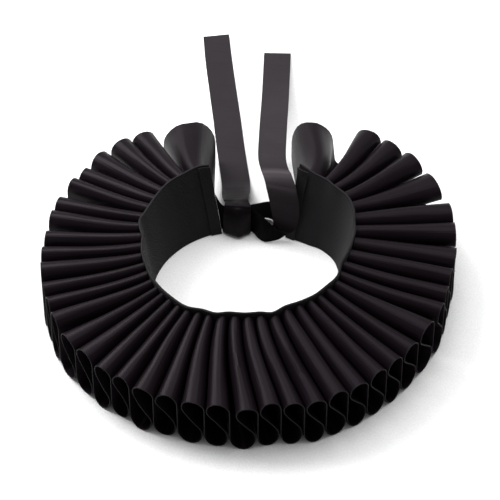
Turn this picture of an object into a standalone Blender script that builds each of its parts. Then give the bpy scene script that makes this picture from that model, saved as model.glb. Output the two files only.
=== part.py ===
"""Black satin ruff collar: one long strip set in figure-eight folds round a neckband that ties at the back.

Metres, +Z up. The collar stands on its lower folds; -Y is the front of the neck and +Y the tied back.
Every cloth piece is an open surface laid through sections, then thickened to a wall.
"""
import math
from collections import namedtuple
from functools import lru_cache

import bmesh
import bpy
from mathutils import Vector

MM = 0.001

# Driving sizes
RING_CENTRE = Vector((-1.6 * MM, -64.4 * MM, 0.0))
NECKBAND_HEIGHT = 57 * MM
NECKBAND_WALL = 1.8 * MM
RUFF_NECK_HEIGHT = 54 * MM
RUFF_RIM_HEIGHT = 43 * MM
RUFF_WALL = 1.0 * MM
RIBBON_WALL = 1.0 * MM
SEAM_GAP = 0.3 * MM
SEAM_EASE = 0.15 * MM

# The ruff's folds
FOLD_CLEARANCE = 1.5 * MM
ARCH_SHARE = 0.18  # how much of a fold's height its arch takes
LOBE_SHARE = 0.24  # the same for the lobe below
NECK_SHARE = 0.09  # for both where the ruff meets the neckband
NECK_REACH = 0.6  # how far towards the rim the flattening at the neck reaches
END_ARCH_SHARE = 0.43  # on the inner side of the wide fold at each end of the strip
FREE_END_SHARE = 0.57  # and on its free side
FREE_END_FOOT = 0.06
FIRST_FOLD_WIDTHS = (15.8 * MM, 38.5 * MM)  # at the neck and at the rim
FINAL_FOLD_WIDTHS = (17.2 * MM, 30.0 * MM)
FINAL_LOBE_RECESS = 2.0  # how much less far the last lobe runs at the rim, in reaches of the wide fold over it
SIDEWAYS_EASE = 0.4
HEIGHT_WOBBLE = 0.022
WOBBLE_STEP = 2.4
SLANT_ROUNDS = 4

# How finely each piece is divided, and the height under which a point is laid on the surface below
LEVEL_BELOW = 0.5 * MM
ARCH_STEPS = 3
SIDE_STEPS = 2
RUFF_SPANS = 3
NECKBAND_STEPS = 156
NECKBAND_SPANS = 3
RIBBON_STEPS = 2
RIBBON_SPANS = 4

# The neckband's ends, in degrees from +X, and how far its left end slants
LEFT_END = 110.2
RIGHT_END = 422.0
LEFT_END_SLANT = 2.8
LEFT_END_REACH = 17.0

# Turned-in hems at the two ends of the neckband
END_HEM_WIDTH = 8.5 * MM
HEM_WALL = 1.0 * MM
HEM_SPANS = 3

Fold = namedtuple("Fold", "number neck_azimuth rim_azimuth rim_radius")
FOLDS = [  # azimuths in degrees from +X, radii in mm, from the left end at the back round the front to the right
    Fold(1, 116.5, 108.6, 136.9),
    Fold(2, 126.9, 123.0, 144.7),
    Fold(3, 134.6, 130.4, 146.6),
    Fold(4, 141.5, 138.8, 148.4),
    Fold(5, 148.3, 146.4, 145.9),
    Fold(6, 155.4, 151.9, 147.1),
    Fold(7, 162.7, 160.0, 148.1),
    Fold(8, 170.2, 166.2, 147.8),
    Fold(9, 177.4, 174.2, 146.9),
    Fold(10, 184.7, 180.0, 148.2),
    Fold(11, 192.1, 186.9, 149.0),
    Fold(12, 199.0, 193.7, 149.8),
    Fold(13, 205.2, 199.4, 149.7),
    Fold(14, 211.4, 205.9, 151.3),
    Fold(15, 217.1, 213.9, 151.9),
    Fold(16, 222.2, 221.3, 150.9),
    Fold(17, 227.8, 228.4, 151.9),
    Fold(18, 233.6, 234.4, 149.6),
    Fold(19, 239.1, 241.4, 152.0),
    Fold(20, 244.5, 248.0, 148.7),
    Fold(21, 250.2, 255.4, 149.8),
    Fold(22, 256.5, 262.2, 149.0),
    Fold(23, 263.3, 269.9, 150.3),
    Fold(24, 270.2, 276.2, 147.3),
    Fold(25, 277.0, 282.4, 148.9),
    Fold(26, 283.9, 288.4, 151.2),
    Fold(27, 291.2, 294.7, 149.8),
    Fold(28, 298.6, 301.1, 149.4),
    Fold(29, 305.4, 307.8, 148.1),
    Fold(30, 311.9, 314.1, 147.7),
    Fold(31, 318.7, 321.1, 147.0),
    Fold(32, 325.8, 329.2, 147.2),
    Fold(33, 332.9, 338.0, 148.0),
    Fold(34, 340.6, 344.2, 147.2),
    Fold(35, 349.5, 350.7, 147.2),
    Fold(36, 358.7, 358.7, 150.0),
    Fold(37, 367.4, 367.9, 152.0),
    Fold(38, 376.1, 375.5, 154.3),
    Fold(39, 384.2, 387.3, 155.4),
    Fold(40, 391.9, 397.2, 155.5),
    Fold(41, 399.3, 405.5, 154.7),
    Fold(42, 405.7, 413.1, 152.5),
    Fold(43, 415.2, 429.7, 138.8),
]

Band = namedtuple("Band", "azimuth foot_radius top_radius")
BAND = [  # the neckband's wall, which waves along its top between the folds that pull on it
    Band(110.2, 61.2, 77.7),
    Band(116.5, 62.0, 79.6),
    Band(126.0, 63.0, 79.0),
    Band(136.3, 64.4, 79.4),
    Band(147.6, 65.9, 78.2),
    Band(156.0, 67.1, 77.6),
    Band(162.0, 67.9, 78.0),
    Band(168.0, 68.7, 79.4),
    Band(173.0, 69.3, 78.2),
    Band(179.0, 70.0, 75.4),
    Band(186.0, 70.6, 76.0),
    Band(193.0, 71.1, 77.0),
    Band(201.0, 71.8, 77.2),
    Band(210.9, 72.4, 78.8),
    Band(219.2, 72.9, 79.6),
    Band(228.1, 73.0, 80.2),
    Band(238.0, 72.7, 81.0),
    Band(246.0, 72.4, 78.2),
    Band(253.2, 71.8, 78.2),
    Band(260.0, 71.0, 75.2),
    Band(268.6, 70.1, 75.0),
    Band(277.0, 69.7, 74.6),
    Band(283.0, 69.5, 76.4),
    Band(291.2, 69.2, 73.2),
    Band(300.0, 68.9, 73.6),
    Band(309.3, 68.2, 74.4),
    Band(318.3, 67.8, 74.2),
    Band(328.0, 67.5, 74.8),
    Band(334.0, 67.5, 72.8),
    Band(339.0, 67.5, 71.6),
    Band(347.0, 67.5, 73.0),
    Band(356.0, 68.0, 75.0),
    Band(364.3, 68.4, 77.4),
    Band(371.0, 69.3, 78.4),
    Band(378.9, 70.2, 81.2),
    Band(385.0, 70.4, 82.6),
    Band(391.0, 69.4, 82.6),
    Band(398.0, 67.5, 81.2),
    Band(404.6, 64.2, 81.2),
    Band(411.8, 62.4, 80.2),
    Band(417.0, 61.4, 81.0),
    Band(422.0, 61.2, 82.7),
]

RibbonStation = namedtuple("RibbonStation", "step low_x low_y low_z high_x high_y high_z mid_y mid_z")
LEFT_RIBBON = [  # its two edges in mm from the ring's centre, and how far its middle stands off the line between
    RibbonStation(0, -20.2, 61.0, 10.5, -23.3, 66.2, 31.0, 0, 0),
    RibbonStation(1, -17.0, 60.8, 3.0, -18.2, 63.6, 22.6, 0, 0),
    RibbonStation(2, -7.5, 61.0, 2.2, -8.0, 62.6, 22.2, 0, 0),
    RibbonStation(3, -1.0, 60.2, 2.0, -1.0, 62.4, 22.0, 0, 0),
    RibbonStation(4, 3.8, 57.0, 1.2, 4.2, 60.2, 21.4, 0, 0),
    RibbonStation(5, 8.2, 51.2, 0.7, 8.8, 56.0, 21.2, -1.0, 0),
    RibbonStation(6, 12.6, 47.9, 0.6, 13.2, 52.8, 19.8, -1.5, 0),
    RibbonStation(7, 18.1, 48.6, 0.6, 18.0, 51.3, 14.8, -1.0, 0),
    RibbonStation(8, 23.3, 49.9, 1.2, 18.9, 51.6, 15.0, -0.5, 0),
    RibbonStation(9, 28.0, 51.2, 4.0, 19.0, 52.0, 16.0, 0, 0),
    RibbonStation(10, 33.4, 49.9, 9.6, 18.8, 52.3, 17.8, 0, 0),
    RibbonStation(11, 37.0, 49.8, 17.0, 18.5, 53.0, 21.8, 0, 0),
    RibbonStation(12, 38.0, 52.0, 24.3, 17.4, 54.6, 27.4, 0, 0),
    RibbonStation(13, 37.7, 54.5, 32.0, 16.0, 56.8, 34.4, 0, 0),
    RibbonStation(14, 36.6, 57.0, 40.1, 14.4, 59.4, 42.0, 0, 0),
    RibbonStation(15, 34.9, 60.0, 48.0, 12.8, 62.6, 48.8, 0, 0.4),
    RibbonStation(16, 32.6, 64.8, 52.6, 11.0, 67.4, 51.6, 0, 0.6),
    RibbonStation(17, 29.9, 73.0, 52.2, 9.2, 75.5, 51.0, 0, 0.6),
    RibbonStation(18, 28.6, 84.0, 49.6, 7.9, 85.5, 49.0, 0, 0.4),
    RibbonStation(19, 28.5, 98.0, 45.8, 7.7, 99.0, 45.4, 0, 0),
    RibbonStation(20, 29.2, 118.0, 40.0, 8.3, 118.0, 40.0, 0, 0),
    RibbonStation(21, 30.1, 142.0, 32.6, 9.1, 142.0, 32.6, 0, 0),
    RibbonStation(22, 31.4, 172.0, 23.2, 10.3, 172.0, 23.2, 0, 0),
    RibbonStation(23, 32.8, 210.0, 11.6, 11.6, 210.0, 11.6, 0, 0),
    RibbonStation(24, 34.4, 255.8, 0.6, 13.0, 256.4, 0.6, 0, 0),
]
RIGHT_RIBBON = [
    RibbonStation(0, 28.0, 54.6, 0.8, 31.4, 61.6, 20.8, 0, 0),
    RibbonStation(1, 24.0, 62.0, 0.8, 26.5, 66.0, 21.8, 0, 0),
    RibbonStation(2, 19.5, 69.5, 0.8, 21.0, 68.5, 22.0, 0, 0),
    RibbonStation(3, 14.0, 72.5, 0.8, 14.3, 68.3, 22.0, 0, 0),
    RibbonStation(4, 8.0, 71.0, 0.8, 8.0, 66.8, 21.8, 0, 0),
    RibbonStation(5, 3.5, 69.2, 0.9, 2.0, 66.0, 21.2, 0, 0),
    RibbonStation(6, 2.2, 68.4, 1.2, -4.5, 66.2, 19.4, 0, 0),
    RibbonStation(7, 1.8, 67.8, 1.4, -11.0, 66.8, 15.6, 0, 0),
    RibbonStation(8, 1.5, 67.0, 1.3, -16.0, 67.0, 10.0, 0, 0),
    RibbonStation(9, 1.4, 66.0, 1.0, -18.5, 66.4, 4.2, 0, 0),
    RibbonStation(10, 1.4, 63.8, 0.7, -19.0, 64.2, 1.0, 0, 0),
    RibbonStation(11, 1.5, 60.5, 0.6, -18.9, 60.9, 0.6, 0, 0),
    RibbonStation(12, 1.9, 57.3, 0.6, -18.4, 57.9, 0.8, -3.0, 0),
    RibbonStation(13, 2.1, 56.0, 3.2, -18.2, 57.0, 3.5, -4.5, 0),
    RibbonStation(14, 2.2, 56.3, 9.0, -18.2, 57.2, 9.0, -4.2, 0),
    RibbonStation(15, 2.3, 57.0, 15.0, -18.2, 57.8, 15.0, -3.2, 0),
    RibbonStation(16, 2.4, 58.4, 20.8, -17.8, 59.2, 21.0, -1.8, 0.3),
    RibbonStation(17, 2.4, 61.2, 24.2, -17.2, 61.8, 24.4, -0.6, 0.8),
    RibbonStation(18, 0.5, 65.6, 25.2, -17.0, 66.5, 23.6, 0, 1.0),
    RibbonStation(19, -0.2, 71.0, 24.0, -18.2, 73.5, 18.8, 0, 0.8),
    RibbonStation(20, 1.5, 79.6, 20.0, -19.2, 82.5, 13.0, 0, 0.5),
    RibbonStation(21, 1.9, 91.0, 12.0, -19.4, 94.0, 7.0, 0, 0),
    RibbonStation(22, 1.8, 103.0, 4.2, -19.6, 104.5, 2.4, 0, 0),
    RibbonStation(23, 1.5, 113.0, 0.8, -20.2, 113.0, 0.7, 0, 0),
    RibbonStation(24, 0.2, 124.0, 0.6, -21.4, 124.0, 0.6, 0, 0),
    RibbonStation(25, -2.2, 145.4, 0.6, -23.8, 146.0, 0.6, 0, 0),
    RibbonStation(26, -5.4, 179.0, 0.6, -27.0, 180.0, 0.6, 0, 0),
    RibbonStation(27, -9.0, 213.0, 0.6, -30.5, 214.0, 0.6, 0, 0),
    RibbonStation(28, -12.6, 248.0, 0.6, -33.9, 248.0, 0.6, 0, 0),
    RibbonStation(29, -15.3, 278.7, 0.6, -35.8, 275.8, 0.6, 0, 0),
]


def table_slope(rows, row, column):
    """Slope of a column at a row, between the rows on each side of it."""
    before, after = max(0, row - 1), min(len(rows) - 1, row + 1)
    return (rows[after][column] - rows[before][column]) / (rows[after][0] - rows[before][0])


def smooth_table(rows, at):
    """Values of a table at its first column's value, on a cubic through the rows."""
    spans = range(len(rows) - 1)
    i = next((k for k in spans if rows[k + 1][0] > at), spans[-1])
    width = rows[i + 1][0] - rows[i][0]
    t = (at - rows[i][0]) / width
    values = []
    for column in range(1, len(rows[0])):
        start, end = rows[i][column], rows[i + 1][column]
        leaving = table_slope(rows, i, column) * width
        arriving = table_slope(rows, i + 1, column) * width
        values.append((2 * t ** 3 - 3 * t ** 2 + 1) * start + (t ** 3 - 2 * t ** 2 + t) * leaving
                      + (3 * t ** 2 - 2 * t ** 3) * end + (t ** 3 - t ** 2) * arriving)
    return values


def between(rows, at):
    """Straight-line value between (from, to) pairs, running on past both ends."""
    spans = range(len(rows) - 1)
    i = next((k for k in spans if rows[k + 1][0] > at), spans[-1])
    (x0, y0), (x1, y1) = rows[i], rows[i + 1]
    return y0 + (y1 - y0) * (at - x0) / (x1 - x0)


def polar(radius, azimuth, height):
    return RING_CENTRE + Vector((radius * math.cos(azimuth), radius * math.sin(azimuth), height))


def neckband_radius(azimuth, height):
    """Middle of the neckband's wall, a cone that opens upwards."""
    foot, top = smooth_table(BAND, math.degrees(azimuth))
    return (foot + (top - foot) * height / NECKBAND_HEIGHT) * MM


def leaned(azimuth, height):
    """Azimuth at the neck once the left end of the neckband has leaned a little to the side."""
    near_end = max(0.0, 1 - (math.degrees(azimuth) - LEFT_END) / LEFT_END_REACH)
    return azimuth + math.radians(LEFT_END_SLANT) * (height / NECKBAND_HEIGHT - 0.5) * near_end


@lru_cache(maxsize=None)
def fold_azimuths(share):
    """Azimuth of each fold's middle, this share of the way from neck to rim."""
    eased = share + SIDEWAYS_EASE * (share * share * (3 - 2 * share) - share)
    return [math.radians(f.neck_azimuth + (f.rim_azimuth - f.neck_azimuth) * eased) for f in FOLDS]


def fold_radius(number, share):
    """How far from the ring's centre a fold's arch is, this share of the way from neck to rim."""
    fold = FOLDS[number - 1]
    neck = neckband_radius(math.radians(fold.neck_azimuth), RUFF_NECK_HEIGHT)
    return neck + (fold.rim_radius * MM - neck) * share


def fold_reach(number, share):
    """Half the width of a fold's arch, as an angle. The end folds have widths of their own."""
    radius = fold_radius(number, share)
    own_widths = {1: FIRST_FOLD_WIDTHS, len(FOLDS): FINAL_FOLD_WIDTHS}
    if number in own_widths:
        at_neck, at_rim = own_widths[number]
        return (at_neck + (at_rim - at_neck) * share) / radius / 2
    before, at, after = fold_azimuths(share)[number - 2:number + 1]
    return (min(at - before, after - at) - FOLD_CLEARANCE / radius) / 2


def fold_height(number, share):
    base = RUFF_NECK_HEIGHT + (RUFF_RIM_HEIGHT - RUFF_NECK_HEIGHT) * share
    return base * (1 + HEIGHT_WOBBLE * share * math.sin(WOBBLE_STEP * number))


Bow = namedtuple("Bow", "middle reach centre rise")


def on_bow(bow, angle):
    return bow.middle + bow.reach * math.cos(angle), bow.centre + bow.rise * math.sin(angle)


def slant_angles(lobe, arch):
    """Where the straight side leaves a lobe and meets the next arch, so that it runs smoothly into both."""
    leave, meet = 2 * math.pi, math.pi
    for _ in range(SLANT_ROUNDS):
        (x0, z0), (x1, z1) = on_bow(lobe, leave), on_bow(arch, meet)
        leave = 2 * math.pi + math.atan2((x0 - x1) / lobe.reach, (z1 - z0) / lobe.rise)
        meet = math.pi + math.atan2((x0 - x1) / arch.reach, (z1 - z0) / arch.rise)
    return leave, meet


def round_share(full, share):
    """How much of a fold's height its arch or lobe takes: less near the neck, where the folds are flattened."""
    return NECK_SHARE + (full - NECK_SHARE) * min(1, share / NECK_REACH)


def fold_bows(number, share):
    """Left and right half of a fold's arch."""
    height, outer = fold_height(number, share), round_share(ARCH_SHARE, share)
    inner = outer + (END_ARCH_SHARE - outer) * share
    shares = {1: (FREE_END_SHARE, inner), len(FOLDS): (inner, FREE_END_SHARE)}.get(number, (outer, outer))
    middle, reach = fold_azimuths(share)[number - 1], fold_reach(number, share)
    return [Bow(middle, reach, height * (1 - part), height * part) for part in shares]


def straight(start, end, steps):
    """Points from a start up to, and without, an end."""
    return [(start[0] + (end[0] - start[0]) * k / steps, start[1] + (end[1] - start[1]) * k / steps)
            for k in range(steps)]


def curved(bow, start, end, steps):
    return [on_bow(bow, start + (end - start) * k / steps) for k in range(steps)]


def fold_line(share):
    """The strip's line at this share of the way from neck to rim: (azimuth, height) from the left end to the right.

    Each fold is an arch on top, a plumb side down, a lobe below that runs on under the next arch,
    and a slanting side that returns to where that next arch starts.
    """
    left, right = fold_bows(1, share)
    foot = (left.middle - left.reach, FREE_END_FOOT * fold_height(1, share))
    points = straight(foot, on_bow(left, math.pi), SIDE_STEPS)
    meet = math.pi
    for number in range(1, len(FOLDS) + 1):
        points += curved(left, meet, math.pi / 2, ARCH_STEPS) + curved(right, math.pi / 2, 0, ARCH_STEPS)
        shoulder = on_bow(right, 0)
        if number == len(FOLDS):
            foot = (shoulder[0], FREE_END_FOOT * fold_height(number, share))
            return points + straight(shoulder, foot, SIDE_STEPS) + [foot]
        next_left, next_right = fold_bows(number + 1, share)
        under, full = (1 - FINAL_LOBE_RECESS * share, ARCH_SHARE) if number + 1 == len(FOLDS) else (1, LOBE_SHARE)
        far = next_left.middle + under * next_left.reach - FOLD_CLEARANCE / fold_radius(number + 1, share)
        rise = round_share(full, share) * fold_height(number, share)
        lobe = Bow((shoulder[0] + far) / 2, (far - shoulder[0]) / 2, rise, rise)
        leave, meet = slant_angles(lobe, next_left)
        points += straight(shoulder, on_bow(lobe, math.pi), SIDE_STEPS)
        points += curved(lobe, math.pi, leave, 2 * ARCH_STEPS)
        points += straight(on_bow(lobe, leave), on_bow(next_left, meet), SIDE_STEPS)
        left, right = next_left, next_right


def ruff_point(share, azimuth, height):
    """Where a point of the strip lies, this share of the way from the neckband to the rim."""
    numbered = [(a, f.number) for a, f in zip(fold_azimuths(share), FOLDS)]
    fold = between(numbered, azimuth)
    at_neck = between([(f.number, math.radians(f.neck_azimuth)) for f in FOLDS], fold)
    rim = smooth_table([(f.number, f.rim_radius) for f in FOLDS], min(max(fold, 1), len(FOLDS)))[0] * MM
    neck = neckband_radius(at_neck, height + RUFF_WALL) + NECKBAND_WALL / 2 + SEAM_GAP + SEAM_EASE
    lean = (leaned(at_neck, height) - at_neck) * (1 - share)
    return polar(neck + (rim - neck) * share, azimuth + lean, height + RUFF_WALL / 2)


def sheet_object(name, rows, wall, material):
    """A closed wall round an open surface given as rows of points, level where it meets the surface below."""
    along = len(rows[0])
    corners = [j * along + i for j in range(len(rows) - 1) for i in range(along - 1)]
    mesh = bpy.data.meshes.new(name + "_surface")
    mesh.from_pydata([point for row in rows for point in row], [],
                     [(c, c + 1, c + along + 1, c + along) for c in corners])
    shell = bpy.data.objects.new(name + "_shell", mesh)
    bpy.context.scene.collection.objects.link(shell)
    thicken = shell.modifiers.new("wall", "SOLIDIFY")
    thicken.thickness = wall
    thicken.offset = 0
    thicken.use_quality_normals = True
    bpy.context.view_layer.update()
    graph = bpy.context.evaluated_depsgraph_get()
    solid = bpy.data.meshes.new_from_object(shell.evaluated_get(graph))
    bpy.data.objects.remove(shell)
    for vertex in solid.vertices:
        if vertex.co.z < LEVEL_BELOW:
            vertex.co.z = 0
    made = bmesh.new()
    made.from_mesh(solid)
    bmesh.ops.recalc_face_normals(made, faces=made.faces)
    made.to_mesh(solid)
    made.free()
    solid.name = name
    solid.materials.clear()
    solid.materials.append(material)
    solid.shade_smooth()
    piece = bpy.data.objects.new(name, solid)
    COLLAR.objects.link(piece)
    return piece


def material(name, colour, roughness):
    made = bpy.data.materials.new(name)
    made.use_nodes = True
    shader = made.node_tree.nodes["Principled BSDF"]
    shader.inputs["Base Color"].default_value = (*colour, 1)
    shader.inputs["Roughness"].default_value = roughness
    shader.inputs["Metallic"].default_value = 0
    return made


def build_ruff(satin):
    rows = []
    for k in range(RUFF_SPANS + 1):
        share = k / RUFF_SPANS
        rows.append([ruff_point(share, azimuth, height) for azimuth, height in fold_line(share)])
    return sheet_object("ruff", rows, RUFF_WALL, satin)


def neckband_rows(first, final, steps, inwards):
    """Rows of points up the neckband between two azimuths in degrees, moved in from the middle of its wall."""
    rows = []
    for k in range(NECKBAND_SPANS + 1):
        height = NECKBAND_HEIGHT * k / NECKBAND_SPANS
        row = []
        for i in range(steps + 1):
            azimuth = math.radians(first + (final - first) * i / steps)
            row.append(polar(neckband_radius(azimuth, height) - inwards, leaned(azimuth, height), height))
        rows.append(row)
    return rows


def build_neckband(twill):
    return sheet_object("neckband", neckband_rows(LEFT_END, RIGHT_END, NECKBAND_STEPS, 0), NECKBAND_WALL, twill)


def build_end_hem(name, end, towards, twill):
    """The turned end of the neckband, lying on its inner face."""
    azimuth = math.radians(end)
    width = math.degrees(END_HEM_WIDTH / neckband_radius(azimuth, NECKBAND_HEIGHT / 2))
    inwards = NECKBAND_WALL / 2 + SEAM_GAP + HEM_WALL / 2
    rows = neckband_rows(*sorted((end, end + towards * width)), HEM_SPANS, inwards)
    return sheet_object(name, rows, HEM_WALL, twill)


def ribbon_rows(stations):
    """Rows of points along a ribbon, on a cubic through its stations."""
    rows = []
    for k in range(RIBBON_SPANS + 1):
        across = k / RIBBON_SPANS
        belly = 4 * across * (1 - across)
        row = []
        for i in range((len(stations) - 1) * RIBBON_STEPS + 1):
            x0, y0, z0, x1, y1, z1, mid_y, mid_z = smooth_table(stations, i / RIBBON_STEPS)
            low, high = Vector((x0, y0, z0)), Vector((x1, y1, z1))
            point = (low + (high - low) * across + Vector((0, mid_y, mid_z)) * belly) * MM
            point.z = max(point.z, RIBBON_WALL / 2 + SEAM_EASE / 2)
            row.append(RING_CENTRE + point)
        rows.append(row)
    return rows


for old in list(bpy.data.objects):
    bpy.data.objects.remove(old)
COLLAR = bpy.data.collections.new("ruff_collar")
bpy.context.scene.collection.children.link(COLLAR)
SATIN = material("black_satin", (0.012, 0.011, 0.013), 0.38)
TWILL = material("black_twill", (0.010, 0.010, 0.012), 0.75)
RIBBON_SATIN = material("ribbon_satin", (0.055, 0.050, 0.053), 0.42)
build_ruff(SATIN)
build_neckband(TWILL)
build_end_hem("hem_left", LEFT_END, 1, TWILL)
build_end_hem("hem_right", RIGHT_END, -1, TWILL)
sheet_object("ribbon_left", ribbon_rows(LEFT_RIBBON), RIBBON_WALL, RIBBON_SATIN)
sheet_object("ribbon_right", ribbon_rows(RIGHT_RIBBON), RIBBON_WALL, RIBBON_SATIN)
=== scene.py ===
"""The ruff collar dressed for its picture: satin folds with a rolled hem, a twill neckband and tied ribbons.

Metres, +Z up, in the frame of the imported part. -Y is the front of the neck and +Y the tied back.
Each cloth piece is an open surface laid through the part's own sections, then thickened. The ruff and the
ribbons are creased before that.
"""

import math
from collections import namedtuple
from functools import lru_cache

import bpy
import numpy as np
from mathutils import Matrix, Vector


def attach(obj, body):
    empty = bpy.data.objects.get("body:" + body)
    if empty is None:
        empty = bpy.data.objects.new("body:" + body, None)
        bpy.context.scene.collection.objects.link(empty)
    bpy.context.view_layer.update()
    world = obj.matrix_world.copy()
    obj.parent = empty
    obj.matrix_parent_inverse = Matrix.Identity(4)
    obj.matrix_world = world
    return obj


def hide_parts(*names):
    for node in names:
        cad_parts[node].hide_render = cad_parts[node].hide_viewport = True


MM = 0.001

# Sizes of the part, as in its source
RING_CENTRE = Vector((-1.6 * MM, -64.4 * MM, 0.0))
NECKBAND_HEIGHT = 57 * MM
NECKBAND_WALL = 1.8 * MM
RUFF_NECK_HEIGHT = 54 * MM
RUFF_RIM_HEIGHT = 43 * MM
SOLID_WALL = 1.0 * MM
SEAM_GAP = 0.3 * MM
FOLD_CLEARANCE = 1.5 * MM
ARCH_SHARE = 0.18
LOBE_SHARE = 0.24
NECK_SHARE = 0.09
NECK_REACH = 0.6
END_ARCH_SHARE = 0.43
FREE_END_SHARE = 0.57
FREE_END_FOOT = 0.06
FIRST_FOLD_WIDTHS = (15.8 * MM, 38.5 * MM)
FINAL_FOLD_WIDTHS = (17.2 * MM, 30.0 * MM)
FINAL_LOBE_RECESS = 2.0
SIDEWAYS_EASE = 0.4
HEIGHT_WOBBLE = 0.022
WOBBLE_STEP = 2.4
SLANT_ROUNDS = 4
LEFT_END = 110.2
RIGHT_END = 422.0
LEFT_END_SLANT = 2.8
LEFT_END_REACH = 17.0
END_HEM_WIDTH = 8.5 * MM

# Walls of the cloth itself, and how finely each piece is divided
SATIN_WALL = 0.7 * MM
BAND_WALL = 1.5 * MM
HEM_WALL = 0.8 * MM
RIBBON_WALL = 0.55 * MM
ARCH_STEPS = 6
SIDE_STEPS = 4
RUFF_SPANS = 30
BAND_STEPS = 516
BAND_SPANS = 14
HEM_STEPS = 16
HEM_SPANS = 28
RIBBON_STEPS = 8
RIBBON_SPANS = 12
SHARP_ANGLE = 55  # degrees between two faces, over which their edge stays sharp

# Edges and stitches
RIM_EDGE_RADIUS = 0.45 * MM
BAND_EDGE_RADIUS = 0.85 * MM
BAND_EDGE_DEPTH = 0.6 * MM
HEM_LOW_INSET = 0.4 * MM
HEM_HIGH_INSET = 0.8 * MM
STITCH_ROWS = (0.20, 0.40)  # shares of a hem's width from its inner side
STITCH_PITCH = 2.6 * MM
STITCH_LENGTH = 2.1 * MM
STITCH_LIFT = 0.6 * MM
STITCH_RADIUS = 0.3 * MM

# The right hem's open top corner
EAR_DEPTH = 3.0 * MM
EAR_START = 0.78  # share of the hem's height
EAR_MIDDLE = 0.75  # share of its width
EAR_LIFT = 0.5  # how far it rises, as a share of how far it opens

Fold = namedtuple("Fold", "number neck_azimuth rim_azimuth rim_radius")
FOLDS = [  # azimuths in degrees from +X, radii in mm, from the left end at the back round to the right
    Fold(1, 116.5, 108.6, 136.9),
    Fold(2, 126.9, 123.0, 144.7),
    Fold(3, 134.6, 130.4, 146.6),
    Fold(4, 141.5, 138.8, 148.4),
    Fold(5, 148.3, 146.4, 145.9),
    Fold(6, 155.4, 151.9, 147.1),
    Fold(7, 162.7, 160.0, 148.1),
    Fold(8, 170.2, 166.2, 147.8),
    Fold(9, 177.4, 174.2, 146.9),
    Fold(10, 184.7, 180.0, 148.2),
    Fold(11, 192.1, 186.9, 149.0),
    Fold(12, 199.0, 193.7, 149.8),
    Fold(13, 205.2, 199.4, 149.7),
    Fold(14, 211.4, 205.9, 151.3),
    Fold(15, 217.1, 213.9, 151.9),
    Fold(16, 222.2, 221.3, 150.9),
    Fold(17, 227.8, 228.4, 151.9),
    Fold(18, 233.6, 234.4, 149.6),
    Fold(19, 239.1, 241.4, 152.0),
    Fold(20, 244.5, 248.0, 148.7),
    Fold(21, 250.2, 255.4, 149.8),
    Fold(22, 256.5, 262.2, 149.0),
    Fold(23, 263.3, 269.9, 150.3),
    Fold(24, 270.2, 276.2, 147.3),
    Fold(25, 277.0, 282.4, 148.9),
    Fold(26, 283.9, 288.4, 151.2),
    Fold(27, 291.2, 294.7, 149.8),
    Fold(28, 298.6, 301.1, 149.4),
    Fold(29, 305.4, 307.8, 148.1),
    Fold(30, 311.9, 314.1, 147.7),
    Fold(31, 318.7, 321.1, 147.0),
    Fold(32, 325.8, 329.2, 147.2),
    Fold(33, 332.9, 338.0, 148.0),
    Fold(34, 340.6, 344.2, 147.2),
    Fold(35, 349.5, 350.7, 147.2),
    Fold(36, 358.7, 358.7, 150.0),
    Fold(37, 367.4, 367.9, 152.0),
    Fold(38, 376.1, 375.5, 154.3),
    Fold(39, 384.2, 387.3, 155.4),
    Fold(40, 391.9, 397.2, 155.5),
    Fold(41, 399.3, 405.5, 154.7),
    Fold(42, 405.7, 413.1, 152.5),
    Fold(43, 415.2, 429.7, 138.8),
]

Band = namedtuple("Band", "azimuth foot_radius top_radius")
BAND = [  # the neckband's wall, which waves along its top between the folds that pull on it
    Band(110.2, 61.2, 77.7),
    Band(116.5, 62.0, 79.6),
    Band(126.0, 63.0, 79.0),
    Band(136.3, 64.4, 79.4),
    Band(147.6, 65.9, 78.2),
    Band(156.0, 67.1, 77.6),
    Band(162.0, 67.9, 78.0),
    Band(168.0, 68.7, 79.4),
    Band(173.0, 69.3, 78.2),
    Band(179.0, 70.0, 75.4),
    Band(186.0, 70.6, 76.0),
    Band(193.0, 71.1, 77.0),
    Band(201.0, 71.8, 77.2),
    Band(210.9, 72.4, 78.8),
    Band(219.2, 72.9, 79.6),
    Band(228.1, 73.0, 80.2),
    Band(238.0, 72.7, 81.0),
    Band(246.0, 72.4, 78.2),
    Band(253.2, 71.8, 78.2),
    Band(260.0, 71.0, 75.2),
    Band(268.6, 70.1, 75.0),
    Band(277.0, 69.7, 74.6),
    Band(283.0, 69.5, 76.4),
    Band(291.2, 69.2, 73.2),
    Band(300.0, 68.9, 73.6),
    Band(309.3, 68.2, 74.4),
    Band(318.3, 67.8, 74.2),
    Band(328.0, 67.5, 74.8),
    Band(334.0, 67.5, 72.8),
    Band(339.0, 67.5, 71.6),
    Band(347.0, 67.5, 73.0),
    Band(356.0, 68.0, 75.0),
    Band(364.3, 68.4, 77.4),
    Band(371.0, 69.3, 78.4),
    Band(378.9, 70.2, 81.2),
    Band(385.0, 70.4, 82.6),
    Band(391.0, 69.4, 82.6),
    Band(398.0, 67.5, 81.2),
    Band(404.6, 64.2, 81.2),
    Band(411.8, 62.4, 80.2),
    Band(417.0, 61.4, 81.0),
    Band(422.0, 61.2, 82.7),
]

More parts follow.
